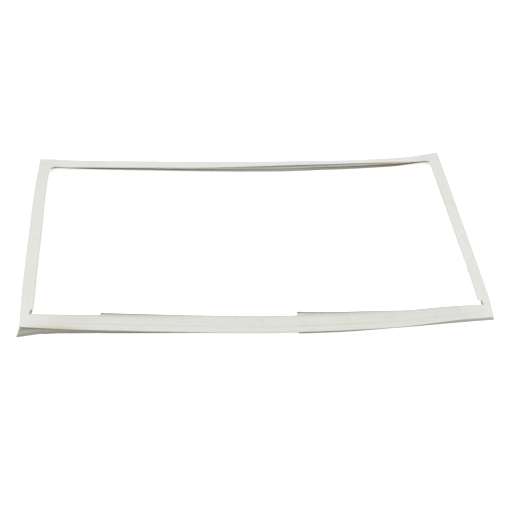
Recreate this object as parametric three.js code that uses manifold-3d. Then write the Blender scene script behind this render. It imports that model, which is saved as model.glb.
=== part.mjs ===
// Refrigerator door gasket: four lengths of one extruded soft profile, mitred and welded at the
// corners into a frame, with a flexible magnet strip in the sleeve of each side. Millimetres, +Z up.
// The frame lies loose on a flat surface with its sealing face up, so its sides bow and roll a little.
import * as THREE from "three";
import { mergeVertices } from "three/addons/utils/BufferGeometryUtils.js";
import Module from "manifold-3d";

const manifoldLibrary = await Module();
manifoldLibrary.setup();

// Frame, measured along the outer edge of the sealing face
const FRAME_LENGTH = 1160;
const FRAME_WIDTH = 515.5;
const SKEW_DEG = 4.5;

// Magnet strip and the sleeve that holds it
const MAGNET_WIDTH = 11;
const MAGNET_THICKNESS = 2.8;
const MAGNET_CLEARANCE = 0.45;
const MAGNET_END_GAP = 4;
const SLEEVE_WALL = 0.9;
const SLEEVE_EDGE_RADIUS = 0.7;

// Inner lip, a thin flap that carries the sealing face inwards
const FACE_WIDTH = 34.4;
const LIP_ROOT_THICKNESS = 1.3;
const LIP_EDGE_THICKNESS = 0.8;
const LIP_DROOP = 1;
const DROOP_POWER = 3;
const CURL_POWER = 8;
const LIP_SHARES = [0.4, 0.7, 0.9, 1];
const LIP_GROOVE_WIDTH = 1.6;
const LIP_GROOVE_DEPTH = 0.3;
const LIP_FILLET = 0.8;

// Bellows between the sleeve and the base: two folds outside, one round bulge inside
const BELLOWS_HEIGHT = 12.2;
const BELLOWS_WALL = 0.9;
const FOLD_COUNT = 2;
const FOLD_DEPTH = 4.2;
const FOLD_INSET = 0.6;
const BULGE_REACH = 20.5;
const BULGE_RADIUS = 3.4;
const BULGE_CENTRE_HEIGHT = 4.9;
const BULGE_ANGLES_DEG = [-45, 5, 55];
const BULGE_FOOT = 16.5;

// Base flange and the barbed dart under it, which is pushed into the slot of the door
const BASE_WIDTH = 23;
const BASE_THICKNESS = 2.4;
const BASE_EDGE_THICKNESS = 1.2;
const BASE_EDGE_BEVEL = 1;
const BASE_EDGE_RISE = 0.4;
const DART_HEIGHT = 6.5;
const DART_NECK_WIDTH = 2.6;
const DART_BARB_WIDTH = 7.4;
const DART_BARB_THICKNESS = 3.2;
const DART_BARB_TOP = 3.8;
const DART_TIP_WIDTH = 1.8;
const DART_FROM_EDGE = 11;

// Breather holes, drilled from below through the base and the floor of the sleeve
const BREATHER_RADIUS = 1;
const BREATHER_FROM_DART = 3.6;
const BREATHER_FACETS = 8;

// Places along a side where its section stands, as distances between neighbouring sections
const CORNER_RUN = 46;
const NEAR_SIDE_STEP = 50;
const FAR_SIDE_STEP = 20.5;
const SHORT_SIDE_STEP = 85;
const CORNER_STEPS = { near: 1, right: 1, far: 5, left: 1 };
const KNIFE_CUT_WIDTH = 1.2;

// How each side lies. Positions are shares of the side's length, counted anticlockwise from its
// first corner, and values are millimetres or degrees. A side may be in several stretches where a
// knife has cut its lip and base across.
const NEAR_CUTS = [0.169, 0.586];
const LIE = {
  near: {
    cuts: NEAR_CUTS,
    bow: [[[0, 0], [0.14, 11], [0.46, 26], [0.63, 27], [0.8, 20], [0.92, 6], [1, 0]]],
    lipGrowth: [
      [[0, 0], [NEAR_CUTS[0], 5.8]],
      [[NEAR_CUTS[0], 12.4], [0.46, 9], [NEAR_CUTS[1], 8.3]],
      [[NEAR_CUTS[1], 21], [0.66, 16.4], [0.75, 12.5], [0.83, 7], [1, 0]],
    ],
    curl: [
      [[0, 0], [NEAR_CUTS[0], 0]],
      [[NEAR_CUTS[0], 5], [0.36, 2], [NEAR_CUTS[1], 0]],
      [[NEAR_CUTS[1], 7], [0.72, 3.5], [0.85, 1], [1, 0]],
    ],
    baseShift: [
      [[0, 0], [0.04, 10], [0.075, 6.5], [0.12, 3.8], [NEAR_CUTS[0], 1.5]],
      [[NEAR_CUTS[0], 2], [0.38, -4], [NEAR_CUTS[1], -7]],
      [[NEAR_CUTS[1], -1.8], [0.69, -2.2], [0.8, -4], [0.93, 1], [1, 0]],
    ],
    roll: [[[0, 0], [1, 0]]],
  },
  right: {
    cuts: [],
    bow: [[[0, 0], [0.1, 4.5], [0.5, 3.5], [1, 0]]],
    lipGrowth: [[[0, 0], [0.1, -4], [0.5, -3], [0.9, -2.5], [1, 0]]],
    curl: [[[0, 0], [1, 0]]],
    baseShift: [[[0, 8], [0.09, 8], [0.3, 5], [0.6, 1], [1, 0]]],
    roll: [[[0, 0], [1, 0]]],
  },
  far: {
    cuts: [],
    bow: [
      [
        [0, 0], [0.044, -17], [0.095, -27.5], [0.158, -32.5], [0.221, -35], [0.285, -32], [0.35, -29],
        [0.45, -28], [0.6, -25.5], [0.75, -20.5], [0.85, -17], [0.93, -10.5], [1, 0],
      ],
    ],
    lipGrowth: [[[0, 0], [1, 0]]],
    curl: [[[0, 0], [1, 0]]],
    baseShift: [
      [
        [0, 0], [0.04, 10], [0.12, 11], [0.22, 8.5], [0.285, 3], [0.36, -3], [0.42, -3.5], [0.5, -2],
        [0.6, 1], [0.75, 4], [0.85, 6], [0.96, 6], [1, 0],
      ],
    ],
    roll: [
      [
        [0, 0], [0.04, 19], [0.07, 25], [0.11, 31], [0.158, 35], [0.221, 37.5], [0.285, 35.5], [0.35, 34],
        [0.45, 30], [0.5, 27], [0.6, 23], [0.75, 21.5], [0.85, 20], [0.93, 14.5], [0.96, 12.5], [1, 0],
      ],
    ],
  },
  left: {
    cuts: [],
    bow: [[[0, 0], [0.2, 5.5], [0.5, 6], [0.8, 4.5], [1, 0]]],
    lipGrowth: [[[0, 0], [0.1, -1.5], [0.5, 1], [0.8, -1], [0.91, -3], [1, -4]]],
    curl: [[[0, 0], [0.6, 0], [0.85, 3], [1, 0]]],
    baseShift: [[[0, 0], [1, 0]]],
    roll: [[[0, 0], [1, 0]]],
  },
};

// The base of the two near corners is pushed outwards from under the sleeve
const LEFT_CORNER_SPLAY = new THREE.Vector2(-12, -21);
const RIGHT_CORNER_SPLAY = new THREE.Vector2(8, -1);

// How far the inner corner of the lips is drawn along the near side at its two mitres, so that the long
// lip runs on to the sleeves of the short sides
const NEAR_LEFT_LIP_REACH = -11;
const NEAR_RIGHT_LIP_REACH = 18;

// Notches that free the ends of the two short lips at the near corners: how far each bites towards
// the sleeve and how far up the short lip it runs, then what both have alike
const NOTCHES = {
  left: { bite: 11, run: 26 },
  right: { bite: 17, run: 26 },
};
const NOTCH_TRIM = 1.5;
const NOTCH_TIP = 3;
const NOTCH_DEPTH = 7.3;
const NOTCH_CURVE_STEPS = 5;

// Cutters stand out of the surface that they enter by this much, and points of two walls that are
// nearer than the merge distance are one corner
const CUTTER_OVERRUN = 1;
const MERGE_DISTANCE = 1e-3;

const PROFILE_FINISH = { color: "#dcdcd7", roughness: 0.55, metalness: 0 };
const MAGNET_FINISH = { color: "#3b3632", roughness: 0.8, metalness: 0 };

// Heights and widths of the section that follow from the sizes above. The section is drawn in a
// plane of its own: x runs inwards from the outer edge, y upwards from the tip of the dart.
const BASE_BOTTOM = DART_HEIGHT;
const BASE_TOP = BASE_BOTTOM + BASE_THICKNESS;
const SLEEVE_BOTTOM = BASE_TOP + BELLOWS_HEIGHT;
const POCKET_HEIGHT = MAGNET_THICKNESS + 2 * MAGNET_CLEARANCE;
const POCKET_WIDTH = MAGNET_WIDTH + 2 * MAGNET_CLEARANCE;
const POCKET_BOTTOM = SLEEVE_BOTTOM + SLEEVE_WALL;
const FACE_HEIGHT = POCKET_BOTTOM + POCKET_HEIGHT + SLEEVE_WALL;
const SLEEVE_WIDTH = POCKET_WIDTH + 2 * SLEEVE_WALL;
const LIP_ROOT = SLEEVE_WIDTH + LIP_GROOVE_WIDTH;
const LIP_BOTTOM = FACE_HEIGHT - LIP_ROOT_THICKNESS - LIP_FILLET / 2;

const SKEW = Math.tan(THREE.MathUtils.degToRad(SKEW_DEG));

const clamp01 = (value) => Math.min(Math.max(value, 0), 1);

// Smooth curve through [position, value] stations
function valueThrough(stations, position) {
  const last = stations.length - 1;
  let index = 0;
  while (index < last - 1 && position > stations[index + 1][0]) index += 1;
  const slopeAt = (i) => {
    const before = stations[Math.max(i - 1, 0)];
    const after = stations[Math.min(i + 1, last)];
    return (after[1] - before[1]) / (after[0] - before[0]);
  };
  const [start, end] = [stations[index], stations[index + 1]];
  const span = end[0] - start[0];
  const t = clamp01((position - start[0]) / span);
  const startSlope = index === 0 ? (end[1] - start[1]) / span : slopeAt(index);
  const endSlope = index + 1 === last ? (end[1] - start[1]) / span : slopeAt(index + 1);
  return (
    start[1] * (1 + 2 * t) * (1 - t) ** 2 +
    end[1] * t * t * (3 - 2 * t) +
    startSlope * span * t * (1 - t) ** 2 +
    endSlope * span * t * t * (t - 1)
  );
}

// Outer wall of the bellows, from the base up, moved inwards by an inset
function outerWall(inset) {
  const pitch = BELLOWS_HEIGHT / (2 * FOLD_COUNT);
  return Array.from({ length: 2 * FOLD_COUNT + 1 }, (_, crease) => {
    const depth = crease % 2 ? FOLD_DEPTH : FOLD_INSET;
    return new THREE.Vector2(depth + inset, BASE_TOP + crease * pitch);
  });
}

// Inner wall of the bellows, from the base up, with its round bulge
function innerWall(inset) {
  const bulgeCentre = new THREE.Vector2(BULGE_REACH - BULGE_RADIUS, BASE_TOP + BULGE_CENTRE_HEIGHT);
  const wall = [new THREE.Vector2(BULGE_FOOT - inset, BASE_TOP)];
  for (const degrees of BULGE_ANGLES_DEG) {
    const angle = THREE.MathUtils.degToRad(degrees);
    const radius = BULGE_RADIUS - inset;
    const step = new THREE.Vector2(Math.cos(angle) * radius, Math.sin(angle) * radius);
    wall.push(bulgeCentre.clone().add(step));
  }
  wall.push(new THREE.Vector2(SLEEVE_WIDTH - inset, SLEEVE_BOTTOM));
  return wall;
}

// The section of the profile, with the magnet pocket and the air chamber as its two holes
function profileSection() {
  const point = (x, y) => new THREE.Vector2(x, y);
  const lipAcross = (share) => THREE.MathUtils.lerp(LIP_ROOT, FACE_WIDTH, share);
  const lipThickness = (share) => THREE.MathUtils.lerp(LIP_ROOT_THICKNESS, LIP_EDGE_THICKNESS, share);
  const lipUnderside = LIP_SHARES.map((share) => point(lipAcross(share), FACE_HEIGHT - lipThickness(share)));
  const lipTop = LIP_SHARES.map((share) => point(lipAcross(share), FACE_HEIGHT));
  const neck = DART_NECK_WIDTH / 2;
  const barb = DART_BARB_WIDTH / 2;
  const tip = DART_TIP_WIDTH / 2;
  const outline = [
    point(SLEEVE_EDGE_RADIUS, FACE_HEIGHT),
    point(0, FACE_HEIGHT - SLEEVE_EDGE_RADIUS),
    point(0, SLEEVE_BOTTOM + SLEEVE_EDGE_RADIUS),
    ...outerWall(0).reverse(),
    point(0, BASE_TOP - BASE_EDGE_THICKNESS / 2),
    point(FOLD_INSET, BASE_BOTTOM),
    point(DART_FROM_EDGE - neck, BASE_BOTTOM),
    point(DART_FROM_EDGE - neck, DART_BARB_TOP),
    point(DART_FROM_EDGE - barb, DART_BARB_THICKNESS),
    point(DART_FROM_EDGE - tip, 0),
    point(DART_FROM_EDGE + tip, 0),
    point(DART_FROM_EDGE + barb, DART_BARB_THICKNESS),
    point(DART_FROM_EDGE + neck, DART_BARB_TOP),
    point(DART_FROM_EDGE + neck, BASE_BOTTOM),
    point(BASE_WIDTH - BASE_EDGE_BEVEL, BASE_BOTTOM + BASE_EDGE_RISE),
    point(BASE_WIDTH, BASE_BOTTOM + BASE_EDGE_THICKNESS),
    ...innerWall(0),
    point(SLEEVE_WIDTH, FACE_HEIGHT - LIP_ROOT_THICKNESS - LIP_FILLET),
    ...lipUnderside,
    ...lipTop.reverse(),
    point(LIP_ROOT, FACE_HEIGHT),
    point(SLEEVE_WIDTH + LIP_GROOVE_WIDTH / 2, FACE_HEIGHT - LIP_GROOVE_DEPTH),
    point(SLEEVE_WIDTH, FACE_HEIGHT),
  ];
  const section = new THREE.Shape(outline);
  const chamber = [...outerWall(BELLOWS_WALL), ...innerWall(BELLOWS_WALL).reverse()];
  section.holes.push(new THREE.Path(chamber));
  section.holes.push(new THREE.Path(rectangle(SLEEVE_WALL, POCKET_BOTTOM, POCKET_WIDTH, POCKET_HEIGHT)));
  return section;
}

function rectangle(x, y, width, height) {
  return [
    new THREE.Vector2(x, y),
    new THREE.Vector2(x + width, y),
    new THREE.Vector2(x + width, y + height),
    new THREE.Vector2(x, y + height),
  ];
}

// The four sides, anticlockwise: the corner where each starts, the way it runs and the way inwards
const HALF_LENGTH = FRAME_LENGTH / 2;
const HALF_WIDTH = FRAME_WIDTH / 2;
const SIDES = {
  near: {
    start: [-HALF_LENGTH, -HALF_WIDTH],
    along: [1, 0],
    inward: [0, 1],
    length: FRAME_LENGTH,
    step: NEAR_SIDE_STEP,
  },
  right: {
    start: [HALF_LENGTH, -HALF_WIDTH],
    along: [0, 1],
    inward: [-1, 0],
    length: FRAME_WIDTH,
    step: SHORT_SIDE_STEP,
  },
  far: {
    start: [HALF_LENGTH, HALF_WIDTH],
    along: [-1, 0],
    inward: [0, -1],
    length: FRAME_LENGTH,
    step: FAR_SIDE_STEP,
  },
  left: {
    start: [-HALF_LENGTH, HALF_WIDTH],
    along: [0, -1],
    inward: [1, 0],
    length: FRAME_WIDTH,
    step: SHORT_SIDE_STEP,
  },
};

// Distances from the side's first corner at which a section stands square across it. Each stretch
// between cuts is divided evenly, and a cut is a close pair of sections.
function stationsOf(side) {
  const { length, step } = SIDES[side];
  const cutPlaces = LIE[side].cuts.map((share) => share * length);
  const starts = [CORNER_RUN, ...cutPlaces.map((place) => place + KNIFE_CUT_WIDTH / 2)];
  const ends = [...cutPlaces.map((place) => place - KNIFE_CUT_WIDTH / 2), length - CORNER_RUN];
  return starts.flatMap((start, stretch) => {
    const span = ends[stretch] - start;
    const count = Math.max(Math.round(span / step), 2);
    return Array.from({ length: count + 1 }, (_, i) => start + (span * i) / count);
  });
}

// One property of a side's lie at a distance along it
function lieAt(side, property, distance) {
  const share = distance / SIDES[side].length;
  const stretch = LIE[side].cuts.filter((cut) => share > cut).length;
  const stretches = LIE[side][property];
  return valueThrough(stretches[Math.min(stretch, stretches.length - 1)], share);
}

const SECTION = profileSection();
const OUTLINE_POINTS = SECTION.getPoints();

// Lowest point of the section once its base is shifted and it is rolled by an angle about its origin
function lowestWhenRolled(angle, baseShift) {
  const heights = OUTLINE_POINTS.map(({ x, y }) => {
    const across = x - baseShift * sunkShare(y);
    return across * Math.sin(angle) + y * Math.cos(angle);
  });
  return Math.min(...heights);
}

const isLip = (x, y) => x > SLEEVE_WIDTH && y > LIP_BOTTOM;
const lipShare = (x) => (x - SLEEVE_WIDTH) / (FACE_WIDTH - SLEEVE_WIDTH);

// Where a point of the section comes to lie: x across the section, y up it, distance along the side.
// The lie is a list of the properties above by name; without one the section stands straight.
function placed(side, x, y, distance, lie) {
  const { start, along, inward } = SIDES[side];
  let across = x;
  let height = y;
  if (isLip(x, y)) {
    const share = lipShare(x);
    across += lie("lipGrowth") * share;
    height -= LIP_DROOP * share ** DROOP_POWER + lie("curl") * share ** CURL_POWER;
  }
  const baseShift = lie("baseShift");
  across -= baseShift * sunkShare(y);
  const roll = THREE.MathUtils.degToRad(lie("roll"));
  const inset = across * Math.cos(roll) - height * Math.sin(roll) - lie("bow");
  return new THREE.Vector3(
    start[0] + along[0] * distance + inward[0] * inset,
    start[1] + along[1] * distance + inward[1] * inset,
    across * Math.sin(roll) + height * Math.cos(roll) - lowestWhenRolled(roll, baseShift),
  );
}

// How far a point lies below the sleeve: 0 in the sleeve, 1 in the base
function sunkShare(y) {
  return clamp01((SLEEVE_BOTTOM - y) / BELLOWS_HEIGHT);
}

// A point on the mitre, where the weld keeps the section flat and square
function placedOnMitre(side, x, y, atStart) {
  const place = placed(side, x, y, atStart ? x : SIDES[side].length - x, () => 0);
  const left = place.x < 0;
  if (place.y < 0 && isLip(x, y)) {
    place.x += (left ? NEAR_LEFT_LIP_REACH : NEAR_RIGHT_LIP_REACH) * lipShare(x) ** 2;
  }
  if (place.y < 0) {
    const splay = left ? LEFT_CORNER_SPLAY : RIGHT_CORNER_SPLAY;
    place.x += splay.x * sunkShare(y);
    place.y += splay.y * sunkShare(y);
  }
  return place;
}

// A point of a side as it lies. Its stretch between a mitre and the first square section is straight.
function laid(side, x, y, distance) {
  const { length } = SIDES[side];
  const square = THREE.MathUtils.clamp(distance, CORNER_RUN, length - CORNER_RUN);
  const place = placed(side, x, y, square, (property) => lieAt(side, property, square));
  if (distance !== square) {
    const toCorner = Math.min(distance, length - distance);
    const freedom = (toCorner - x) / (CORNER_RUN - x);
    place.lerpVectors(placedOnMitre(side, x, y, distance < square), place, freedom);
  }
  place.x -= SKEW * place.y;
  return place;
}

// Extrudes a section along a side with a section at each station and lays every vertex
function extrudeAlong(side, section, endGap) {
  const stations = stationsOf(side);
  const cornerSteps = CORNER_STEPS[side];
  const steps = stations.length - 1 + 2 * cornerSteps;
  const settings = { depth: 1, steps, bevelEnabled: false, curveSegments: 1 };
  const geometry = new THREE.ExtrudeGeometry(section, settings);
  const position = geometry.attributes.position;
  for (let i = 0; i < position.count; i += 1) {
    const [x, y] = [position.getX(i), position.getY(i)];
    const index = Math.round(position.getZ(i) * steps);
    const toMitre = cornerSteps - Math.min(index, steps - index);
    let distance = stations[index - cornerSteps];
    if (toMitre > 0) {
      const toCorner = THREE.MathUtils.lerp(CORNER_RUN, x + endGap, toMitre / cornerSteps);
      distance = index < cornerSteps ? toCorner : SIDES[side].length - toCorner;
    }
    const place = laid(side, x, y, distance);
    position.setXYZ(i, place.x, place.y, place.z);
  }
  return geometry;
}

// Solid of a closed triangle list, given as a plain array of coordinates
function solidOf(coordinates) {
  const loose = new THREE.BufferGeometry();
  loose.setAttribute("position", new THREE.Float32BufferAttribute(coordinates, 3));
  const merged = mergeVertices(loose, MERGE_DISTANCE);
  const mesh = new manifoldLibrary.Mesh({
    numProp: 3,
    vertProperties: new Float32Array(merged.attributes.position.array),
    triVerts: new Uint32Array(merged.index.array),
  });
  return new manifoldLibrary.Manifold(mesh);
}

function solidOfGeometry(geometry) {
  const loose = geometry.index ? geometry.toNonIndexed() : geometry;
  return solidOf(Array.from(loose.attributes.position.array));
}

function geometryOf(solid) {
  const mesh = solid.getMesh();
  const geometry = new THREE.BufferGeometry();
  geometry.setAttribute("position", new THREE.Float32BufferAttribute(mesh.vertProperties, 3));
  geometry.setIndex(Array.from(mesh.triVerts));
  geometry.computeVertexNormals();
  return geometry;
}

// Walls only of an extrusion: its lids are left off, because at the mitres the walls of two sides
// meet and the weld has no lid inside
function wallCoordinates(geometry) {
  const walls = geometry.groups[1];
  const all = geometry.attributes.position.array;
  return Array.from(all.slice(walls.start * 3, (walls.start + walls.count) * 3));
}

// Hole through the base and the floor of the sleeve at the middle of a side, so that the air
// chamber and the pocket can breathe
function breatherHole(side) {
  const x = DART_FROM_EDGE - BREATHER_FROM_DART;
  const middle = SIDES[side].length / 2;
  const top = POCKET_BOTTOM + MAGNET_CLEARANCE / 2;
  const low = laid(side, x, BASE_BOTTOM - CUTTER_OVERRUN, middle);
  const high = laid(side, x, top, middle);
  const axis = high.clone().sub(low);
  const length = axis.length();
  const drill = new THREE.CylinderGeometry(BREATHER_RADIUS, BREATHER_RADIUS, length, BREATHER_FACETS);
  drill.translate(0, length / 2, 0);
  const turn = new THREE.Quaternion().setFromUnitVectors(new THREE.Vector3(0, 1, 0), axis.normalize());
  drill.applyQuaternion(turn);
  drill.translate(low.x, low.y, low.z);
  return solidOfGeometry(drill);
}

// Knife cut that frees the end of a short lip at a near corner. The outline is drawn from the inner
// corner of the lips, x towards the long side's middle and y along the short side.
function cornerNotch(corner) {
  const { bite, run } = NOTCHES[corner];
  const outline = new THREE.Shape();
  outline.moveTo(run, -NOTCH_TRIM);
  outline.lineTo(run, run);
  outline.lineTo(-NOTCH_TIP / 2, run);
  outline.quadraticCurveTo(-NOTCH_TIP, run / 2, -bite, run / 3);
  outline.lineTo(-bite - NOTCH_TIP, -NOTCH_TRIM - NOTCH_TIP / 2);
  outline.lineTo(-bite, -NOTCH_TRIM);
  const settings = { depth: NOTCH_DEPTH, bevelEnabled: false, curveSegments: NOTCH_CURVE_STEPS };
  const blade = new THREE.ExtrudeGeometry(outline, settings);
  const foot = FACE_HEIGHT + CUTTER_OVERRUN - NOTCH_DEPTH;
  blade.translate(-HALF_LENGTH + FACE_WIDTH, -HALF_WIDTH + FACE_WIDTH, foot);
  const position = blade.attributes.position;
  for (let i = 0; i < position.count; i += 1) {
    const x = corner === "right" ? -position.getX(i) : position.getX(i);
    position.setX(i, x - SKEW * position.getY(i));
  }
  const coordinates = Array.from(blade.attributes.position.array);
  if (corner === "right") turnInsideOut(coordinates);
  return solidOf(coordinates);
}

// A mirrored triangle list faces inwards until two corners of each triangle change places
function turnInsideOut(coordinates) {
  for (let i = 0; i < coordinates.length; i += 9) {
    for (let k = 0; k < 3; k += 1) {
      [coordinates[i + 3 + k], coordinates[i + 6 + k]] = [coordinates[i + 6 + k], coordinates[i + 3 + k]];
    }
  }
}

function gasketProfile() {
  const sides = Object.keys(SIDES);
  const ring = solidOf(sides.flatMap((side) => wallCoordinates(extrudeAlong(side, SECTION, 0))));
  return sides
    .map(breatherHole)
    .concat(Object.keys(NOTCHES).map(cornerNotch))
    .reduce((solid, cutter) => solid.subtract(cutter), ring);
}

function magnetStrip(side) {
  const section = new THREE.Shape(
    rectangle(
      SLEEVE_WALL + MAGNET_CLEARANCE,
      POCKET_BOTTOM + MAGNET_CLEARANCE,
      MAGNET_WIDTH,
      MAGNET_THICKNESS,
    ),
  );
  return solidOfGeometry(extrudeAlong(side, section, MAGNET_END_GAP));
}

function namedMesh(name, geometry, finish) {
  const mesh = new THREE.Mesh(geometry, new THREE.MeshStandardMaterial(finish));
  mesh.name = name;
  return mesh;
}

const gasket = new THREE.Group();
const profileGeometry = geometryOf(gasketProfile());
gasket.add(namedMesh("gasket_profile", profileGeometry, PROFILE_FINISH));
for (const side of Object.keys(SIDES)) {
  gasket.add(namedMesh(`magnet_strip_${side}`, geometryOf(magnetStrip(side)), MAGNET_FINISH));
}

// The origin is the middle of the frame's footprint, on the surface that it lies on
profileGeometry.computeBoundingBox();
const footprint = profileGeometry.boundingBox;
const origin = footprint.getCenter(new THREE.Vector3()).setZ(footprint.min.z);
gasket.children.forEach((mesh) => mesh.geometry.translate(-origin.x, -origin.y, -origin.z));

export default gasket;
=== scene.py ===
"""Look of a refrigerator door gasket that lies loose on a white surface with its sealing face up.

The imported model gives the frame. The soft profile is lofted again here with a finer section and
closer stations, along the same lie as the model's solid, and gets the finish of old soft PVC.
Lengths are metres.
"""
import math

import bmesh
import bpy
from mathutils import Matrix, Vector


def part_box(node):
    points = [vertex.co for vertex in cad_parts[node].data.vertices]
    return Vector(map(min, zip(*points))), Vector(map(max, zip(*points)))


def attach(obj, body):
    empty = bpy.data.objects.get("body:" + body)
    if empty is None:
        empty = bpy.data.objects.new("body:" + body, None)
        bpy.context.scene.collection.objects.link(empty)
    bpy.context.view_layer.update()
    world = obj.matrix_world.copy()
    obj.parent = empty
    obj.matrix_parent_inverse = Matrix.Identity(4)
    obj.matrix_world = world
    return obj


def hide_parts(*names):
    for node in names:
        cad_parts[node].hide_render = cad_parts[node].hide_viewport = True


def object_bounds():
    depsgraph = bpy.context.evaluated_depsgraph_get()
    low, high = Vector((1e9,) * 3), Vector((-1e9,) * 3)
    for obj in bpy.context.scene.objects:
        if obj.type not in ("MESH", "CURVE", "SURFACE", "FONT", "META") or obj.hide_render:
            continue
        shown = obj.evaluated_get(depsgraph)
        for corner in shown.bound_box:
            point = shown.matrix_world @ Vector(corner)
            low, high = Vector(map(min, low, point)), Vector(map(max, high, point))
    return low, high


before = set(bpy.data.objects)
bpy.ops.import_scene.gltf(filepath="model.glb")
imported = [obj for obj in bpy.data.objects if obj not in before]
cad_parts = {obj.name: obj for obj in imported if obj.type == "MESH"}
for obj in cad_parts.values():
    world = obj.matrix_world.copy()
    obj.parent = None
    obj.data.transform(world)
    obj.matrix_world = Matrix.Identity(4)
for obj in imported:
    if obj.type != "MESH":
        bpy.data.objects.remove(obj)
CAD_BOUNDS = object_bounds()
MM = 0.001

# Frame, measured along the outer edge of the sealing face
HALF_LENGTH = 580 * MM
HALF_WIDTH = 257.75 * MM
SKEW = math.tan(math.radians(4.5))

# Heights in the section, from the tip of the dart up
BASE_BOTTOM = 6.5 * MM
BASE_TOP = 8.9 * MM
SLEEVE_BOTTOM = 21.1 * MM
FACE_HEIGHT = 26.6 * MM
BELLOWS_HEIGHT = SLEEVE_BOTTOM - BASE_TOP

# Sleeve and lip, from the outer edge of the section inwards
SLEEVE_WIDTH = 13.7 * MM
SLEEVE_EDGE_RADIUS = 0.7 * MM
GROOVE_WIDTH = 1.6 * MM
GROOVE_DEPTH = 0.3 * MM
FACE_WIDTH = 34.4 * MM
LIP_ROOT_THICKNESS = 1.3 * MM
LIP_EDGE_THICKNESS = 0.8 * MM
LIP_FILLET = 0.8 * MM
LIP_DROOP = 1 * MM
DROOP_POWER = 3
CURL_POWER = 8
LIP_PARTS = 14
SLEEVE_FACE_SHARES = (0.75, 0.5, 0.25)

# Bellows: two folds on the outside, a round bulge on the inside
FOLD_COUNT = 2
FOLD_DEPTH = 4.2 * MM
FOLD_INSET = 0.6 * MM
BULGE_REACH = 20.5 * MM
BULGE_RADIUS = 3.4 * MM
BULGE_CENTRE_HEIGHT = 4.9 * MM
BULGE_FOOT = 16.5 * MM
BULGE_DEGREES = range(-45, 60, 20)

# Base, dart and breather holes
BASE_WIDTH = 23 * MM
BASE_EDGE_THICKNESS = 1.2 * MM
BASE_EDGE_BEVEL = 1 * MM
BASE_EDGE_RISE = 0.4 * MM
DART_FROM_EDGE = 11 * MM
DART_NECK_WIDTH = 2.6 * MM
DART_BARB_WIDTH = 7.4 * MM
DART_BARB_THICKNESS = 3.2 * MM
DART_BARB_TOP = 3.8 * MM
DART_TIP_WIDTH = 1.8 * MM
BREATHER_RADIUS = 1 * MM
BREATHER_FROM_EDGE = 7.4 * MM
BREATHER_FACETS = 16

# How far each kind of edge of the section is rounded off
UNROUNDED = 0
NECK_ROUNDING = 0.2 * MM
FINE_ROUNDING = 0.3 * MM
EDGE_ROUNDING = 0.4 * MM
SOFT_ROUNDING = 0.5 * MM
SLEEVE_FOOT_ROUNDING = 0.6 * MM
FOLD_ROUNDING = 0.9 * MM
ROUNDING_PARTS = 4
SHARP_DEGREES = 38

# Stations along a side, where its section stands
CORNER_RUN = 46 * MM
CORNER_PARTS = 9
STATION_STEP = 7 * MM
KNIFE_CUT_WIDTH = 0.7 * MM

# How far the inner corner of the lips is drawn along the near side at its two mitres
NEAR_LEFT_LIP_REACH = -11 * MM
NEAR_RIGHT_LIP_REACH = 18 * MM

# Notches at the near corners: how far each bites towards the sleeve and runs up the short lip
NOTCHES = {"left": (11 * MM, 26 * MM), "right": (17 * MM, 26 * MM)}
NOTCH_TRIM = 1.5 * MM
NOTCH_TIP = 3 * MM
NOTCH_DEPTH = 7.3 * MM
NOTCH_CURVE_PARTS = 8

# How far a cutter stands out of what it cuts
CUTTER_OVERRUN = 1 * MM

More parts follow.
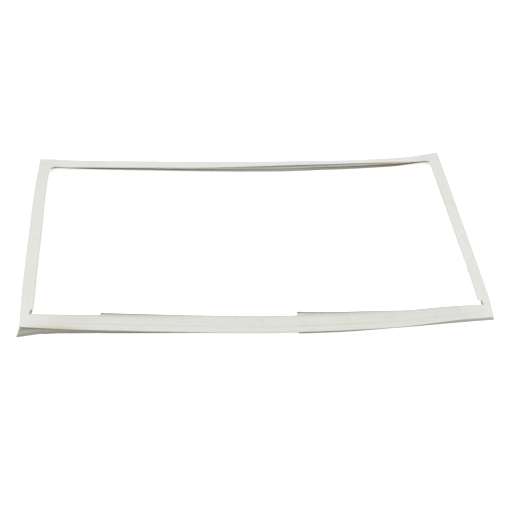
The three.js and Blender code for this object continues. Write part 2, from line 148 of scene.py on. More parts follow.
# How each side lies, as in the model: positions are shares of the side's length from its first
# corner anticlockwise, values are millimetres or degrees
NEAR_CUTS = [0.169, 0.586]
FLAT = [[(0, 0), (1, 0)]]
LIE = {
    "near": {
        "bow": [[(0, 0), (0.14, 11), (0.46, 26), (0.63, 27), (0.8, 20), (0.92, 6), (1, 0)]],
        "lip_growth": [
            [(0, 0), (NEAR_CUTS[0], 5.8)],
            [(NEAR_CUTS[0], 12.4), (0.46, 9), (NEAR_CUTS[1], 8.3)],
            [(NEAR_CUTS[1], 21), (0.66, 16.4), (0.75, 12.5), (0.83, 7), (1, 0)],
        ],
        "curl": [
            [(0, 0), (NEAR_CUTS[0], 0)],
            [(NEAR_CUTS[0], 5), (0.36, 2), (NEAR_CUTS[1], 0)],
            [(NEAR_CUTS[1], 7), (0.72, 3.5), (0.85, 1), (1, 0)],
        ],
        "base_shift": [
            [(0, 0), (0.04, 10), (0.075, 6.5), (0.12, 3.8), (NEAR_CUTS[0], 1.5)],
            [(NEAR_CUTS[0], 2), (0.38, -4), (NEAR_CUTS[1], -7)],
            [(NEAR_CUTS[1], -1.8), (0.69, -2.2), (0.8, -4), (0.93, 1), (1, 0)],
        ],
        "roll": FLAT,
    },
    "right": {
        "bow": [[(0, 0), (0.1, 4.5), (0.5, 3.5), (1, 0)]],
        "lip_growth": [[(0, 0), (0.1, -4), (0.5, -3), (0.9, -2.5), (1, 0)]],
        "curl": FLAT,
        "base_shift": [[(0, 8), (0.09, 8), (0.3, 5), (0.6, 1), (1, 0)]],
        "roll": FLAT,
    },
    "far": {
        "bow": [
            [
                (0, 0), (0.044, -17), (0.095, -27.5), (0.158, -32.5), (0.221, -35), (0.285, -32),
                (0.35, -29), (0.45, -28), (0.6, -25.5), (0.75, -20.5), (0.85, -17), (0.93, -10.5), (1, 0),
            ]
        ],
        "lip_growth": FLAT,
        "curl": FLAT,
        "base_shift": [
            [
                (0, 0), (0.04, 10), (0.12, 11), (0.22, 8.5), (0.285, 3), (0.36, -3), (0.42, -3.5),
                (0.5, -2), (0.6, 1), (0.75, 4), (0.85, 6), (0.96, 6), (1, 0),
            ]
        ],
        "roll": [
            [
                (0, 0), (0.04, 19), (0.07, 25), (0.11, 31), (0.158, 35), (0.221, 37.5), (0.285, 35.5),
                (0.35, 34), (0.45, 30), (0.5, 27), (0.6, 23), (0.75, 21.5), (0.85, 20), (0.93, 14.5),
                (0.96, 12.5), (1, 0),
            ]
        ],
    },
    "left": {
        "bow": [[(0, 0), (0.2, 5.5), (0.5, 6), (0.8, 4.5), (1, 0)]],
        "lip_growth": [[(0, 0), (0.1, -1.5), (0.5, 1), (0.8, -1), (0.91, -3), (1, -4)]],
        "curl": [[(0, 0), (0.6, 0), (0.85, 3), (1, 0)]],
        "base_shift": FLAT,
        "roll": FLAT,
    },
}
CUTS = {"near": NEAR_CUTS, "right": [], "far": [], "left": []}
LEFT_CORNER_SPLAY = (-12 * MM, -21 * MM)
RIGHT_CORNER_SPLAY = (8 * MM, -1 * MM)

# The four sides anticlockwise: first corner, way along, way inwards, length
SIDES = {
    "near": ((-HALF_LENGTH, -HALF_WIDTH), (1, 0), (0, 1), 2 * HALF_LENGTH),
    "right": ((HALF_LENGTH, -HALF_WIDTH), (0, 1), (-1, 0), 2 * HALF_WIDTH),
    "far": ((HALF_LENGTH, HALF_WIDTH), (-1, 0), (0, -1), 2 * HALF_LENGTH),
    "left": ((-HALF_LENGTH, HALF_WIDTH), (0, -1), (1, 0), 2 * HALF_WIDTH),
}

# Painted light: a tone per side for the light on that side, and one shared tone that they take towards the
# welds
SIDE_LIGHT_TONES = {"near": "#dcdcd7", "right": "#e5e5e1", "far": "#ececea", "left": "#e5e6e0"}
SHARED_SIDE_TONE = "#e4e4e0"
SHARED_SIDE_TONE_REACH = 70 * MM

# Patterns in the PVC, counted per metre: clouds about 110 mm wide and smudges about 18 mm wide. The
# lines from the die change slowly along a side, and are drawn 1.1 mm wide, coarser than real ones,
# so that they show
CLOUDS_PER_METRE = 9
SMUDGES_PER_METRE = 55
DIE_LINES_PER_METRE = (2.5, 900, 900)

# Painted shade in the dusty folds: how much the far side has, and the near side, where it thins out
# along the right end. Its tone changes with the height in the section: dark over the base, light on the
# fold between, dark in the upper crease and under the sleeve, where shade falls
FAR_DUST_AND_SHADE = 0.45
NEAR_DUST_AND_SHADE = {"From Min": 0.75, "From Max": 1.12, "To Min": 0.8, "To Max": 0.3}
FOOT_DUST_AND_SHADE_TONE = "#dddcd6"
DUST_AND_SHADE_TONES = {8.6 * MM: "#dddcd6", 9.4 * MM: "#8d8c84", 13.8 * MM: "#dedcd6", 17.6 * MM: "#94938b"}
SLEEVE_DUST_AND_SHADE_TONE = "#84837b"

# Painted shade on the curled near lip after a knife cut: how far it takes to fade, the darkest stretch beside
# the cut
EDGE_SHADE_FADE = 260 * MM
EDGE_SHADE_START = 7 * MM

# Grains of the ferrite powder in the magnet rubber, drawn 1.1 mm wide, coarser than real ones
FERRITE_GRAINS_PER_METRE = 900

# White paper under the gasket: half its width, and the gap that keeps it from touching the dart
PAPER_REACH = 6
PAPER_GAP = 0.2 * MM

# Light: one wide soft lamp overhead and an even white surround
LAMP_PLACE = (0, -0.8, 3.6)
LAMP_AIM = (0, 0, 0)
LAMP_SIZE = 2.2
LAMP_WATTS = 86
SURROUND_STRENGTH = 0.47

# The photograph's camera in the coordinates of the lie. Its focal length and picture width are pixels
CAMERA_PLACE = Vector((6.93 * MM, -688.4 * MM, FACE_HEIGHT + 1151.3 * MM))
CAMERA_AIM = Vector((20.33 * MM, -76.16 * MM, FACE_HEIGHT))
FOCAL_PIXELS = 500
PICTURE_PIXELS = 512
SENSOR_MILLIMETRES = 36
VIEW_DISTANCE = 50

# Sockets of the colour mix node
MIX_SHARE, MIX_LOWER, MIX_UPPER, MIX_RESULT = 0, 6, 7, 2


def clamp01(value):
    return min(max(value, 0), 1)


def mix(a, b, share):
    return a + (b - a) * share


def value_through(stations, position):
    """Smooth curve through (position, value) stations, the same as the model's."""
    last = len(stations) - 1
    index = 0
    while index < last - 1 and position > stations[index + 1][0]:
        index += 1

    def slope_at(i):
        before, after = stations[max(i - 1, 0)], stations[min(i + 1, last)]
        return (after[1] - before[1]) / (after[0] - before[0])

    start, end = stations[index], stations[index + 1]
    span = end[0] - start[0]
    t = clamp01((position - start[0]) / span)
    straight = (end[1] - start[1]) / span
    start_slope = straight if index == 0 else slope_at(index)
    end_slope = straight if index + 1 == last else slope_at(index + 1)
    return (
        start[1] * (1 + 2 * t) * (1 - t) ** 2
        + end[1] * t * t * (3 - 2 * t)
        + start_slope * span * t * (1 - t) ** 2
        + end_slope * span * t * t * (t - 1)
    )


def lie_at(side, name, distance):
    """One property of a side's lie at a distance along it."""
    share = distance / SIDES[side][3]
    stretch = sum(share > cut for cut in CUTS[side])
    stretches = LIE[side][name]
    return value_through(stretches[min(stretch, len(stretches) - 1)], share)


def rounded(before, corner, after, radius):
    """Points of a soft corner between two straight stretches."""
    start = corner + (before - corner).normalized() * radius
    end = corner + (after - corner).normalized() * radius
    points = []
    for i in range(ROUNDING_PARTS + 1):
        t = i / ROUNDING_PARTS
        points.append(start * (1 - t) ** 2 + corner * 2 * t * (1 - t) + end * t * t)
    return points


def soften(points, radii):
    """A closed outline with the corners rounded that have a radius."""
    outline = []
    count = len(points)
    for i, (point, radius) in enumerate(zip(points, radii)):
        if radius:
            outline += rounded(points[i - 1], point, points[(i + 1) % count], radius)
        else:
            outline.append(point)
    return outline


def fold_corners():
    """The outside of the bellows from the sleeve down to the base, as (place, rounding) pairs."""
    corners = []
    last = 2 * FOLD_COUNT
    for step in range(last, -1, -1):
        depth = FOLD_DEPTH if step % 2 else FOLD_INSET
        rounding = FINE_ROUNDING if step in (0, last) else FOLD_ROUNDING
        corners.append(((depth, BASE_TOP + step * BELLOWS_HEIGHT / last), rounding))
    return corners


def dart_corners():
    """The barbed dart under the base, from its outer side round its tip to its inner side."""
    neck, barb, tip = DART_NECK_WIDTH / 2, DART_BARB_WIDTH / 2, DART_TIP_WIDTH / 2
    outer_side = [
        ((-neck, BASE_BOTTOM), SOFT_ROUNDING),
        ((-neck, DART_BARB_TOP), NECK_ROUNDING),
        ((-barb, DART_BARB_THICKNESS), FINE_ROUNDING),
        ((-tip, 0), SOFT_ROUNDING),
    ]
    inner_side = [((-x, y), rounding) for (x, y), rounding in reversed(outer_side)]
    return [((DART_FROM_EDGE + x, y), rounding) for (x, y), rounding in outer_side + inner_side]


def bulge_corners():
    """The round bulge on the inside of the bellows, from the base up."""
    centre_x, centre_y = BULGE_REACH - BULGE_RADIUS, BASE_TOP + BULGE_CENTRE_HEIGHT
    corners = []
    for degrees in BULGE_DEGREES:
        angle = math.radians(degrees)
        on_bulge = (centre_x + BULGE_RADIUS * math.cos(angle), centre_y + BULGE_RADIUS * math.sin(angle))
        corners.append((on_bulge, UNROUNDED))
    return corners


def lip_corners():
    """The thin lip, out along its underside to its edge and back along its face to its root."""
    lip_root = SLEEVE_WIDTH + GROOVE_WIDTH
    underside, face = [], []
    for part in range(1, LIP_PARTS + 1):
        share = part / LIP_PARTS
        x = mix(lip_root, FACE_WIDTH, share)
        thickness = mix(LIP_ROOT_THICKNESS, LIP_EDGE_THICKNESS, share)
        rounding = FINE_ROUNDING if part == LIP_PARTS else UNROUNDED
        underside.append(((x, FACE_HEIGHT - thickness), rounding))
        face.append(((x, FACE_HEIGHT), rounding))
    return underside + face[::-1] + [((lip_root, FACE_HEIGHT), EDGE_ROUNDING)]


def section_outline():
    """The outer outline of the profile's section, anticlockwise from the outer edge of the face."""
    corners = [
        ((SLEEVE_EDGE_RADIUS, FACE_HEIGHT), FINE_ROUNDING),
        ((0, FACE_HEIGHT - SLEEVE_EDGE_RADIUS), FINE_ROUNDING),
        ((0, SLEEVE_BOTTOM + SLEEVE_EDGE_RADIUS), EDGE_ROUNDING),
        *fold_corners(),
        ((0, BASE_TOP - BASE_EDGE_THICKNESS / 2), EDGE_ROUNDING),
        ((FOLD_INSET, BASE_BOTTOM), FINE_ROUNDING),
        *dart_corners(),
        ((BASE_WIDTH - BASE_EDGE_BEVEL, BASE_BOTTOM + BASE_EDGE_RISE), FINE_ROUNDING),
        ((BASE_WIDTH, BASE_BOTTOM + BASE_EDGE_THICKNESS), FINE_ROUNDING),
        ((BULGE_FOOT, BASE_TOP), SOFT_ROUNDING),
        *bulge_corners(),
        ((SLEEVE_WIDTH, SLEEVE_BOTTOM), SLEEVE_FOOT_ROUNDING),
        ((SLEEVE_WIDTH, FACE_HEIGHT - LIP_ROOT_THICKNESS - LIP_FILLET), SOFT_ROUNDING),
        *lip_corners(),
        ((SLEEVE_WIDTH + GROOVE_WIDTH / 2, FACE_HEIGHT - GROOVE_DEPTH), FINE_ROUNDING),
        ((SLEEVE_WIDTH, FACE_HEIGHT), FINE_ROUNDING),
    ]
    corners += [((SLEEVE_WIDTH * share, FACE_HEIGHT), UNROUNDED) for share in SLEEVE_FACE_SHARES]
    places, radii = zip(*corners)
    return soften([Vector(place) for place in places], radii)


OUTLINE = section_outline()
LIP_BOTTOM = FACE_HEIGHT - LIP_ROOT_THICKNESS - LIP_FILLET / 2


def sunk_share(y):
    """How far a point lies below the sleeve: 0 in the sleeve, 1 in the base."""
    return clamp01((SLEEVE_BOTTOM - y) / BELLOWS_HEIGHT)


def lie_table(side, distance):
    """The whole lie of a side at a distance: lengths in metres, the roll in radians, the resting height."""
    lengths = ("bow", "lip_growth", "curl", "base_shift")
    lie = {name: lie_at(side, name, distance) * MM for name in lengths}
    lie["roll"] = math.radians(lie_at(side, "roll", distance))
    sine, cosine = math.sin(lie["roll"]), math.cos(lie["roll"])
    shift = lie["base_shift"]
    lie["lowest"] = min((p.x - shift * sunk_share(p.y)) * sine + p.y * cosine for p in OUTLINE)
    return lie


STRAIGHT = {"bow": 0, "lip_growth": 0, "curl": 0, "base_shift": 0, "roll": 0, "lowest": 0}


def is_lip(x, y):
    return x > SLEEVE_WIDTH and y > LIP_BOTTOM


def lip_share(x):
    return (x - SLEEVE_WIDTH) / (FACE_WIDTH - SLEEVE_WIDTH)


def placed(side, x, y, distance, lie):
    """Where a point of the section comes to lie."""
    start, along, inward, _ = SIDES[side]
    across, height = x, y
    if is_lip(x, y):
        share = lip_share(x)
        across += lie["lip_growth"] * share
        height -= LIP_DROOP * share**DROOP_POWER + lie["curl"] * share**CURL_POWER
    across -= lie["base_shift"] * sunk_share(y)
    sine, cosine = math.sin(lie["roll"]), math.cos(lie["roll"])
    inset = across * cosine - height * sine - lie["bow"]
    return Vector((
        start[0] + along[0] * distance + inward[0] * inset,
        start[1] + along[1] * distance + inward[1] * inset,
        across * sine + height * cosine - lie["lowest"],
    ))


def placed_on_mitre(side, x, y, at_start):
    """A point on the mitre, where the weld keeps the section flat and square."""
    place = placed(side, x, y, x if at_start else SIDES[side][3] - x, STRAIGHT)
    left = place.x < 0
    if place.y < 0 and is_lip(x, y):
        place.x += (NEAR_LEFT_LIP_REACH if left else NEAR_RIGHT_LIP_REACH) * lip_share(x) ** 2
    if place.y < 0:
        splay = LEFT_CORNER_SPLAY if left else RIGHT_CORNER_SPLAY
        place.x += splay[0] * sunk_share(y)
        place.y += splay[1] * sunk_share(y)
    return place


def laid(side, x, y, distance, lie, square):
    """A point of a side as it lies; between a mitre and the first square section the side is straight."""
    length = SIDES[side][3]
    place = placed(side, x, y, square, lie)
    if distance != square:
        to_corner = min(distance, length - distance)
        freedom = (to_corner - x) / (CORNER_RUN - x)
        place = placed_on_mitre(side, x, y, distance < square).lerp(place, freedom)
    place.x -= SKEW * place.y
    return place


def square_stations(side):
    """Distances at which a section stands square across the side."""
    length = SIDES[side][3]
    cuts = [share * length for share in CUTS[side]]
    starts = [CORNER_RUN] + [cut + KNIFE_CUT_WIDTH / 2 for cut in cuts]
    ends = [cut - KNIFE_CUT_WIDTH / 2 for cut in cuts] + [length - CORNER_RUN]
    stations = []
    for start, end in zip(starts, ends):
        parts = max(round((end - start) / STATION_STEP), 2)
        stations += [mix(start, end, i / parts) for i in range(parts + 1)]
    return stations


def station_rings(side):
    """One ring of (place, distance, x, y) after another along a side, from its first mitre to the next."""
    length = SIDES[side][3]
    squares = square_stations(side)
    rings = []

    def ring(to_mitre, at_start, square):
        lie = lie_table(side, square)
        points = []
        for p in OUTLINE:
            distance = square
            if to_mitre:
                to_corner = mix(CORNER_RUN, p.x, to_mitre)
                distance = to_corner if at_start else length - to_corner
            points.append((laid(side, p.x, p.y, distance, lie, square), distance, p.x, p.y))
        return points

    for i in range(CORNER_PARTS):
        rings.append(ring(1 - i / CORNER_PARTS, True, squares[0]))
    rings += [ring(0, True, square) for square in squares]
    for i in range(1, CORNER_PARTS + 1):
        rings.append(ring(i / CORNER_PARTS, False, squares[-1]))
    return rings


def new_object(name, mesh_builder, material):
    """A new object from a bmesh, with one material."""
    mesh = bpy.data.meshes.new(name)
    mesh_builder.to_mesh(mesh)
    mesh_builder.free()
    mesh.materials.append(material)
    obj = bpy.data.objects.new(name, mesh)
    bpy.context.scene.collection.objects.link(obj)
    return obj


def side_value(side, share=0.5):
    """The number from 0 to 1 that marks a side in the UV map "side", or its start or end."""
    return (list(SIDES).index(side) + share) / len(SIDES)


def loft_profile(material):
    """The welded ring of four sides. Its face corners keep where they are in the section as UV maps."""
    build = bmesh.new()
    lay = build.loops.layers.uv.new("lay")
    depth = build.loops.layers.uv.new("depth")
    side_mark = build.loops.layers.uv.new("side")
    count = len(OUTLINE)
    first_ring = None
    previous = None
    for side in SIDES:
        length = SIDES[side][3]
        rings = station_rings(side)
        for index, ring in enumerate(rings):
            closing = side == "left" and index == len(rings) - 1
            if index == 0 and previous is not None:
                verts = previous[0]
            elif closing:
                verts = first_ring
            else:
                verts = [build.verts.new(place) for place, _, _, _ in ring]
            facts = [(distance, x, y, min(distance, length - distance) - x) for _, distance, x, y in ring]
            if first_ring is None:
                first_ring = verts
            if index > 0:
                old_verts, old_facts = previous
                for k in range(count):
                    after = (k + 1) % count
                    face = build.faces.new((old_verts[k], verts[k], verts[after], old_verts[after]))
                    corner_facts = (old_facts[k], facts[k], facts[after], old_facts[after])
                    for loop, (along, across, up, from_weld) in zip(face.loops, corner_facts):
                        loop[lay].uv = (along, across)
                        loop[depth].uv = (up, from_weld)
                        loop[side_mark].uv = (side_value(side), 0.5)
            previous = (verts, facts)
    bmesh.ops.recalc_face_normals(build, faces=build.faces)
    return new_object("gasket_profile_skin", build, material)


def prism(outline, low, high):
    """A closed prism over an outline of (x, y), between two heights."""
    build = bmesh.new()
    face = build.faces.new([build.verts.new((x, y, low)) for x, y in outline])
    grown = bmesh.ops.extrude_face_region(build, geom=[face])
    for vert in (item for item in grown["geom"] if isinstance(item, bmesh.types.BMVert)):
        vert.co.z = high
    bmesh.ops.recalc_face_normals(build, faces=build.faces)
    return build


def notch_blade(corner, material):
    """Knife shape that frees the end of a short lip at a near corner."""
    bite, run = NOTCHES[corner]
    outline = [(run, -NOTCH_TRIM), (run, run), (-NOTCH_TIP / 2, run)]
    start, control, end = (-NOTCH_TIP / 2, run), (-NOTCH_TIP, run / 2), (-bite, run / 3)
    for i in range(1, NOTCH_CURVE_PARTS + 1):
        t = i / NOTCH_CURVE_PARTS
        outline.append(tuple(
            a * (1 - t) ** 2 + b * 2 * t * (1 - t) + c * t * t for a, b, c in zip(start, control, end)
        ))
    outline += [(-bite - NOTCH_TIP, -NOTCH_TRIM - NOTCH_TIP / 2), (-bite, -NOTCH_TRIM)]
    placed_outline = []
    for x, y in outline:
        place_x = (-HALF_LENGTH + FACE_WIDTH + x) * (-1 if corner == "right" else 1)
        place_y = -HALF_WIDTH + FACE_WIDTH + y
        placed_outline.append((place_x - SKEW * place_y, place_y))
    top = FACE_HEIGHT + CUTTER_OVERRUN
    return new_object("notch_blade", prism(placed_outline, top - NOTCH_DEPTH, top), material)


def breather_drill(side, material):
    """Round drill through the base at the middle of a side."""
    middle = SIDES[side][3] / 2
    lie = lie_table(side, middle)
    low = laid(side, BREATHER_FROM_EDGE, BASE_BOTTOM - CUTTER_OVERRUN, middle, lie, middle)
    high = laid(side, BREATHER_FROM_EDGE, SLEEVE_BOTTOM, middle, lie, middle)
    build = bmesh.new()
    length = (high - low).length
    bmesh.ops.create_cone(
        build,
        cap_ends=True,
        segments=BREATHER_FACETS,
        radius1=BREATHER_RADIUS,
        radius2=BREATHER_RADIUS,
        depth=length,
    )
    turn = Vector((0, 0, 1)).rotation_difference((high - low).normalized())
    for vert in build.verts:
        vert.co = turn @ (vert.co + Vector((0, 0, length / 2))) + low
    return new_object("breather_drill", build, material)


def cut_away(obj, cutters):
    """Cuts closed shapes out of an object's mesh, then throws the shapes away."""
    for cutter in cutters:
        modifier = obj.modifiers.new("cut", "BOOLEAN")
        modifier.operation = "DIFFERENCE"
        modifier.solver = "EXACT"
        modifier.object = cutter
    bpy.context.view_layer.update()
    cut_mesh = bpy.data.meshes.new_from_object(obj.evaluated_get(bpy.context.evaluated_depsgraph_get()))
    obj.modifiers.clear()
    obj.data = cut_mesh
    for cutter in cutters:
        bpy.data.objects.remove(cutter)


def shade(obj, sharp_degrees):
    """Smooth shading with the folds and cuts kept crisp."""
    build = bmesh.new()
    build.from_mesh(obj.data)
    for face in build.faces:
        face.smooth = True
    limit = math.radians(sharp_degrees)
    for edge in build.edges:
        edge.smooth = len(edge.link_faces) == 2 and edge.calc_face_angle(0) < limit
    build.to_mesh(obj.data)
    build.free()


def model_origin(skin):
    """The model's origin in the coordinates of the lie, found from the boxes of the skin and its node."""
    places = [vertex.co for vertex in skin.data.vertices]
    low = [min(place[i] for place in places) for i in range(3)]
    high = [max(place[i] for place in places) for i in range(3)]
    cad_low, cad_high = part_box("gasket_profile")
    return Vector((
        (low[0] + high[0] - cad_low[0] - cad_high[0]) / 2,
        (low[1] + high[1] - cad_low[1] - cad_high[1]) / 2,
        low[2] - cad_low[2],
    ))


def srgb(hex_colour):
    """Linear colour of a hex code as it shows on a screen."""
    channels = [int(hex_colour[i:i + 2], 16) / 255 for i in (1, 3, 5)]
    return tuple(c / 12.92 if c <= 0.04045 else ((c + 0.055) / 1.055) ** 2.4 for c in channels) + (1,)


def add_node(tree, kind, inputs=None, **settings):
    """A new shader node with its settings, its constants and its links."""
    node = tree.nodes.new(kind)
    for name, value in settings.items():
        setattr(node, name, value)
    for key, value in (inputs or {}).items():
        if isinstance(value, bpy.types.NodeSocket):
            tree.links.new(value, node.inputs[key])
        else:
            node.inputs[key].default_value = value
    return node


def new_material(name):
    material = bpy.data.materials.new(name)
    material.use_nodes = True
    tree = material.node_tree
    tree.nodes.clear()
    return material, tree


def together(tree, *shares):
    """How far several masks and strengths hold at once: their product."""
    product = shares[0]
    for share in shares[1:]:
        product = add_node(tree, "ShaderNodeMath", {0: product, 1: share}, operation="MULTIPLY").outputs[0]
    return product


def band(tree, value, soft, low=None, high=None):
    """1 where a value lies over its lower and under its upper limit, with soft edges."""
    edges = []
    for limit, before, after in ((low, 0, 1), (high, 1, 0)):
        if limit is not None:
            edges.append(add_node(tree, "ShaderNodeMapRange", {
                "Value": value, "From Min": limit - soft, "From Max": limit + soft,
                "To Min": before, "To Max": after,
            }).outputs[0])
    return together(tree, *edges)


def sides_mask(tree, value, first, last):
    """1 on the sides from the first to the last of those named."""
    return band(tree, value, soft=0.01, low=side_value(first, 0), high=side_value(last, 1))


def places_on_profile(tree):
    """Where a point of the profile is: along its side, across and up its section, and from the weld."""
    maps = {}
    for name in ("lay", "depth", "side"):
        uv = add_node(tree, "ShaderNodeUVMap", uv_map=name).outputs[0]
        maps[name] = add_node(tree, "ShaderNodeSeparateXYZ", {0: uv}).outputs
    at = {
        "along": maps["lay"][0],
        "across": maps["lay"][1],
        "up": maps["depth"][0],
        "from_weld": maps["depth"][1],
        "side": maps["side"][0],
        "space": add_node(tree, "ShaderNodeTexCoord").outputs["Object"],
    }

    # Masks: the face, all that lies under the sleeve, and the two long sides
    at["face"] = band(tree, at["up"], soft=0.2 * MM, low=FACE_HEIGHT - 1.2 * MM)
    at["folds"] = band(tree, at["up"], soft=0.8 * MM, high=SLEEVE_BOTTOM + 0.8 * MM)
    at["near_side"] = sides_mask(tree, at["side"], "near", "near")
    at["far_side"] = sides_mask(tree, at["side"], "far", "far")
    return at


def aged_patterns(tree, at):
    """Broad clouds, long lines from the die and small smudges, each a value from 0 to 1."""
    clouds = add_node(tree, "ShaderNodeTexNoise", {
        "Vector": at["space"], "Scale": CLOUDS_PER_METRE, "Detail": 3, "Roughness": 0.5,
    })
    smudges = add_node(tree, "ShaderNodeTexNoise", {
        "Vector": at["space"], "Scale": SMUDGES_PER_METRE, "Detail": 5, "Roughness": 0.6,
    })
    on_profile = add_node(tree, "ShaderNodeCombineXYZ", {0: at["along"], 1: at["across"], 2: at["up"]})
    stretched = add_node(
        tree, "ShaderNodeVectorMath", {0: on_profile.outputs[0], 1: DIE_LINES_PER_METRE}, operation="MULTIPLY"
    )
    lines = add_node(tree, "ShaderNodeTexNoise", {"Vector": stretched.outputs[0], "Scale": 1, "Detail": 2})
    return clouds.outputs[0], lines.outputs[0], smudges.outputs[0]


def pvc_colour(tree, at):
    """Grey-white PVC with painted light: a tone per side, which goes over to one shared tone towards the
    welds.
    """
    # Painted light: each side's tone is lighter or darker with the light on that side
    side_light_tone = add_node(tree, "ShaderNodeValToRGB", {0: at["side"]})
    ramp = side_light_tone.color_ramp
    ramp.interpolation = "CONSTANT"
    ramp.elements.remove(ramp.elements[1])
    ramp.elements[0].color = srgb(SIDE_LIGHT_TONES["near"])
    for side in ("right", "far", "left"):
        ramp.elements.new(side_value(side, 0)).color = srgb(SIDE_LIGHT_TONES[side])
    from_weld = add_node(tree, "ShaderNodeMapRange", {"Value": at["from_weld"], "From Max": SHARED_SIDE_TONE_REACH})
    even = add_node(tree, "ShaderNodeMix", {
        MIX_SHARE: from_weld.outputs[0], MIX_LOWER: srgb(SHARED_SIDE_TONE), MIX_UPPER: side_light_tone.outputs[0],
    }, data_type="RGBA")
    return even.outputs[MIX_RESULT]


def age_tints(tree, clouds, lines, smudges):
    """Warm clouds of yellowing, pale long lines and smudges from handling, as (share, tint) pairs."""
    # Pattern, its levels where the tint is first seen and strongest, the tint's strength there, the tint
    ageing = (
        (clouds, 0.45, 0.75, 0.35, "#f6f4ea"),
        (lines, 0.35, 0.7, 0.3, "#f0f0ee"),
        (smudges, 0.55, 0.8, 0.35, "#e2e0d8"),
    )
    tints = []
    for pattern, first_seen, strongest, strength, tint in ageing:
        share = add_node(tree, "ShaderNodeMapRange", {
            "Value": pattern, "From Min": first_seen, "From Max": strongest, "To Max": strength,
        })
        tints.append((share.outputs[0], srgb(tint)))
    return tints


def groove_shade_tint(tree, at, patchy):
    """Painted shade in the lip groove of the near side: a faint grey line, only on the face."""
    start, end = SLEEVE_WIDTH + 0.2 * MM, SLEEVE_WIDTH + GROOVE_WIDTH - 0.2 * MM
    groove = band(tree, at["across"], soft=0.5 * MM, low=start, high=end)
    return together(tree, groove, at["face"], patchy, at["near_side"]), srgb("#eeede8")


def dust_and_shade_tints(tree, at):
    """Painted shade in the dusty folds and on the base, strongest in the creases of the long sides."""
    near_shade_amount = add_node(tree, "ShaderNodeMapRange", {"Value": at["along"], **NEAR_DUST_AND_SHADE}).outputs[0]
    near_dust_and_shade = together(tree, at["near_side"], near_shade_amount)
    far_dust_and_shade = together(tree, at["far_side"], FAR_DUST_AND_SHADE)
    long_side_dust_and_shade = add_node(tree, "ShaderNodeMath", {0: far_dust_and_shade, 1: near_dust_and_shade}, operation="ADD").outputs[0]
    height = add_node(tree, "ShaderNodeMath", {0: at["up"], 1: SLEEVE_BOTTOM}, operation="DIVIDE").outputs[0]
    dust_and_shade_by_height = add_node(tree, "ShaderNodeValToRGB", {0: height})
    dust_and_shade_by_height.color_ramp.elements[0].color = srgb(FOOT_DUST_AND_SHADE_TONE)
    dust_and_shade_by_height.color_ramp.elements[1].color = srgb(SLEEVE_DUST_AND_SHADE_TONE)
    for up, hex_colour in DUST_AND_SHADE_TONES.items():
        dust_and_shade_by_height.color_ramp.elements.new(up / SLEEVE_BOTTOM).color = srgb(hex_colour)
    on_base = band(tree, at["up"], soft=0.3 * MM, high=BASE_TOP + 0.3 * MM)
    past_corner = band(tree, at["along"], soft=25 * MM, low=95 * MM)
    # Painted shade under the sleeve on every side, the tone by height in the long sides' folds, and painted
    # shadow on their base past the first 95 mm
    return [
        (at["folds"], srgb("#e6e5e0")),
        (together(tree, at["folds"], long_side_dust_and_shade), dust_and_shade_by_height.outputs[0]),
        (together(tree, on_base, past_corner, long_side_dust_and_shade), srgb("#b5b4ad")),
    ]


def wall_shade_tint(tree, at):
    """Painted shade on the outer wall of the near sleeve: greyer than its face."""
    outer_wall = band(tree, at["across"], soft=0.3 * MM, high=0.3 * MM)
    above_folds = band(tree, at["up"], soft=0.4 * MM, low=SLEEVE_BOTTOM, high=FACE_HEIGHT - 0.4 * MM)
    return together(tree, outer_wall, above_folds, at["near_side"]), srgb("#c9c8c2")


def lip_edge_shade_tints(tree, at):
    """Painted shade along the lip's drooping edge: a grey line, darkest where a knife has cut the near lip
    across and it curls down.
    """
    edge = together(tree, band(tree, at["across"], soft=0.8 * MM, low=FACE_WIDTH - 2.4 * MM), at["face"])
    rolled = together(tree, band(tree, at["across"], soft=3.5 * MM, low=FACE_WIDTH - 6 * MM), at["face"])
    tints = [(together(tree, edge, 0.5), srgb("#e8e8e4"))]
    for share in NEAR_CUTS:
        cut = share * 2 * HALF_LENGTH
        after = band(tree, at["along"], soft=0.5 * MM, low=cut)
        fading = add_node(tree, "ShaderNodeMapRange", {
            "Value": at["along"], "From Min": cut, "From Max": cut + EDGE_SHADE_FADE, "To Min": 1, "To Max": 0,
        }).outputs[0]
        beside_cut = band(tree, at["along"], soft=3 * MM, low=cut, high=cut + EDGE_SHADE_START)
        near_and_after = together(tree, at["near_side"], after)
        # Painted shade where the near lip curls down after the cut: darkest beside it, fading along the lip
        tints += [
            (together(tree, edge, near_and_after, fading), srgb("#c3c2bd")),
            (together(tree, rolled, near_and_after, fading), srgb("#e2e1dc")),
            (together(tree, edge, near_and_after, beside_cut), srgb("#a9a8a2")),
        ]
    return tints


def grease_tints(tree, at, patchy):
    """Old grease, a cream film: low at the near left corner, and in the folds at the far side's right end."""
    low_edge = band(tree, at["across"], soft=3 * MM, low=-1 * MM, high=7 * MM)
    near_corner = band(tree, at["along"], soft=25 * MM, low=25 * MM, high=150 * MM)
    far_end = band(tree, at["along"], soft=40 * MM, high=190 * MM)
    near_film = together(tree, low_edge, near_corner, at["near_side"], at["face"], patchy)
    far_film = together(tree, at["folds"], far_end, at["far_side"])
    return [(near_film, srgb("#f3ecda")), (far_film, srgb("#f3ead2"))]


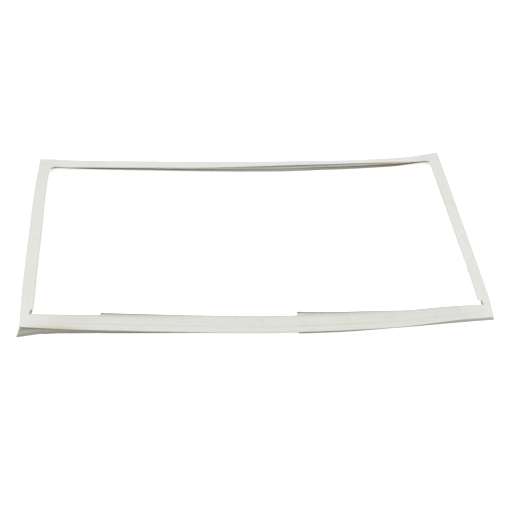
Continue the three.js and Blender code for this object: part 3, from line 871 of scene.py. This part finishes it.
def soft_pvc():
    """Soft PVC, extruded and aged: grey-white and half matt, with die lines, welds and dusty folds, painted
    shade in the folds, groove and along the lip edge, and painted light per side.
    """
    material, tree = new_material("soft_pvc_aged")
    at = places_on_profile(tree)
    clouds, lines, smudges = aged_patterns(tree, at)
    patchy = add_node(tree, "ShaderNodeMapRange", {
        "Value": clouds, "From Min": 0.3, "From Max": 0.7, "To Min": 0.5, "To Max": 0.9,
    }).outputs[0]

    # Weld at the mitres: a thin flattened line, grey with dirt only at the far corners
    weld = together(
        tree,
        band(tree, at["from_weld"], soft=0.4 * MM, low=-0.5 * MM, high=0.5 * MM),
        sides_mask(tree, at["side"], "far", "left"),
    )

    # Each tint multiplies the colour under it, as far as its share says
    # The groove, fold, wall and lip edge tints are painted shade, the fold tints with some dirt as well
    tints = [
        *age_tints(tree, clouds, lines, smudges),
        groove_shade_tint(tree, at, patchy),
        *dust_and_shade_tints(tree, at),
        wall_shade_tint(tree, at),
        *lip_edge_shade_tints(tree, at),
        *grease_tints(tree, at, patchy),
        (together(tree, weld, 0.5), srgb("#dddcd7")),
    ]
    colour = pvc_colour(tree, at)
    for share, tint in tints:
        layer = add_node(
            tree,
            "ShaderNodeMix",
            {MIX_SHARE: share, MIX_LOWER: colour, MIX_UPPER: tint},
            data_type="RGBA",
            blend_type="MULTIPLY",
        )
        colour = layer.outputs[MIX_RESULT]

    # The die lines and the welds catch the light a little, and smudges take some of the sheen away
    weld_height = together(tree, weld, 0.3)
    line_height = together(tree, lines, 0.35)
    height = add_node(tree, "ShaderNodeMath", {0: weld_height, 1: line_height}, operation="ADD").outputs[0]
    bump = add_node(tree, "ShaderNodeBump", {"Height": height, "Strength": 0.5, "Distance": 0.15 * MM})
    sheen = add_node(tree, "ShaderNodeMapRange", {
        "Value": smudges, "From Min": 0.3, "From Max": 0.8, "To Min": 0.42, "To Max": 0.62,
    })
    surface = add_node(tree, "ShaderNodeBsdfPrincipled", {
        "Base Color": colour,
        "Roughness": sheen.outputs[0],
        "Normal": bump.outputs[0],
        "Specular IOR Level": 0.35,
    })
    add_node(tree, "ShaderNodeOutputMaterial", {0: surface.outputs[0]})
    return material


def magnet_rubber():
    """Ferrite-filled rubber strip: dark brown, matt, with powdery specks."""
    material, tree = new_material("magnet_rubber_matt")
    where = add_node(tree, "ShaderNodeTexCoord").outputs["Object"]
    grain = add_node(tree, "ShaderNodeTexNoise", {
        "Vector": where, "Scale": FERRITE_GRAINS_PER_METRE, "Detail": 4, "Roughness": 0.6,
    }).outputs[0]
    tone = add_node(tree, "ShaderNodeValToRGB", {0: grain})
    tone.color_ramp.elements[0].color = srgb("#2f2a26")
    tone.color_ramp.elements[1].color = srgb("#4a443d")
    bump = add_node(tree, "ShaderNodeBump", {"Height": grain, "Strength": 0.3, "Distance": 0.1 * MM})
    surface = add_node(tree, "ShaderNodeBsdfPrincipled", {
        "Base Color": tone.outputs[0], "Roughness": 0.8, "Normal": bump.outputs[0],
    })
    add_node(tree, "ShaderNodeOutputMaterial", {0: surface.outputs[0]})
    return material


def paper_floor():
    """White studio paper, bright enough to render white and still take the object's shadow."""
    material, tree = new_material("studio_paper")
    surface = add_node(tree, "ShaderNodeBsdfPrincipled", {
        "Base Color": (0.94, 0.94, 0.94, 1), "Roughness": 0.9, "Specular IOR Level": 0.1,
        "Emission Color": (1, 1, 1, 1), "Emission Strength": 0.5,
    })
    add_node(tree, "ShaderNodeOutputMaterial", {0: surface.outputs[0]})
    return material


def add_floor():
    build = bmesh.new()
    bmesh.ops.create_grid(build, x_segments=1, y_segments=1, size=PAPER_REACH)
    floor = new_object("floor", build, paper_floor())
    floor.data.transform(Matrix.Translation((0, 0, CAD_BOUNDS[0][2] - PAPER_GAP)))


def add_lamp(name, place, aim, size, power):
    """A square soft lamp that points at a place."""
    data = bpy.data.lights.new(name, "AREA")
    data.shape = "RECTANGLE"
    data.size = size
    data.size_y = size
    data.energy = power
    lamp = bpy.data.objects.new(name, data)
    lamp.location = place
    lamp.rotation_mode = "QUATERNION"
    lamp.rotation_quaternion = (Vector(aim) - Vector(place)).to_track_quat("-Z", "Y")
    bpy.context.scene.collection.objects.link(lamp)


def add_camera(origin):
    """The photograph's camera: above the near long side, looking down at 62 degrees."""
    data = bpy.data.cameras.new("camera")
    data.sensor_width = SENSOR_MILLIMETRES
    data.lens = SENSOR_MILLIMETRES * FOCAL_PIXELS / PICTURE_PIXELS
    data.clip_end = VIEW_DISTANCE
    camera = bpy.data.objects.new("camera", data)
    camera.location = CAMERA_PLACE - origin
    camera.rotation_mode = "QUATERNION"
    camera.rotation_quaternion = (CAMERA_AIM - CAMERA_PLACE).to_track_quat("-Z", "Y")
    bpy.context.scene.collection.objects.link(camera)
    bpy.context.scene.camera = camera


def add_world():
    """Even white light from all around, which keeps the folds' shadows soft."""
    world = bpy.data.worlds.new("soft_studio")
    bpy.context.scene.world = world
    world.use_nodes = True
    world.node_tree.nodes["Background"].inputs[0].default_value = (1, 1, 1, 1)
    world.node_tree.nodes["Background"].inputs[1].default_value = SURROUND_STRENGTH


pvc = soft_pvc()
skin = loft_profile(pvc)
cutters = [notch_blade(corner, pvc) for corner in NOTCHES] + [breather_drill(side, pvc) for side in SIDES]
cut_away(skin, cutters)
origin = model_origin(skin)
for vertex in skin.data.vertices:
    vertex.co -= origin
shade(skin, SHARP_DEGREES)
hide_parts("gasket_profile")
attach(skin, "root")

rubber = magnet_rubber()
for name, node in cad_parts.items():
    if name.startswith("magnet_strip"):
        node.data.materials.clear()
        node.data.materials.append(rubber)

add_floor()
add_world()
add_lamp("overhead", LAMP_PLACE, LAMP_AIM, LAMP_SIZE, LAMP_WATTS)
add_camera(origin)

bpy.context.scene.view_settings.view_transform = "Standard"
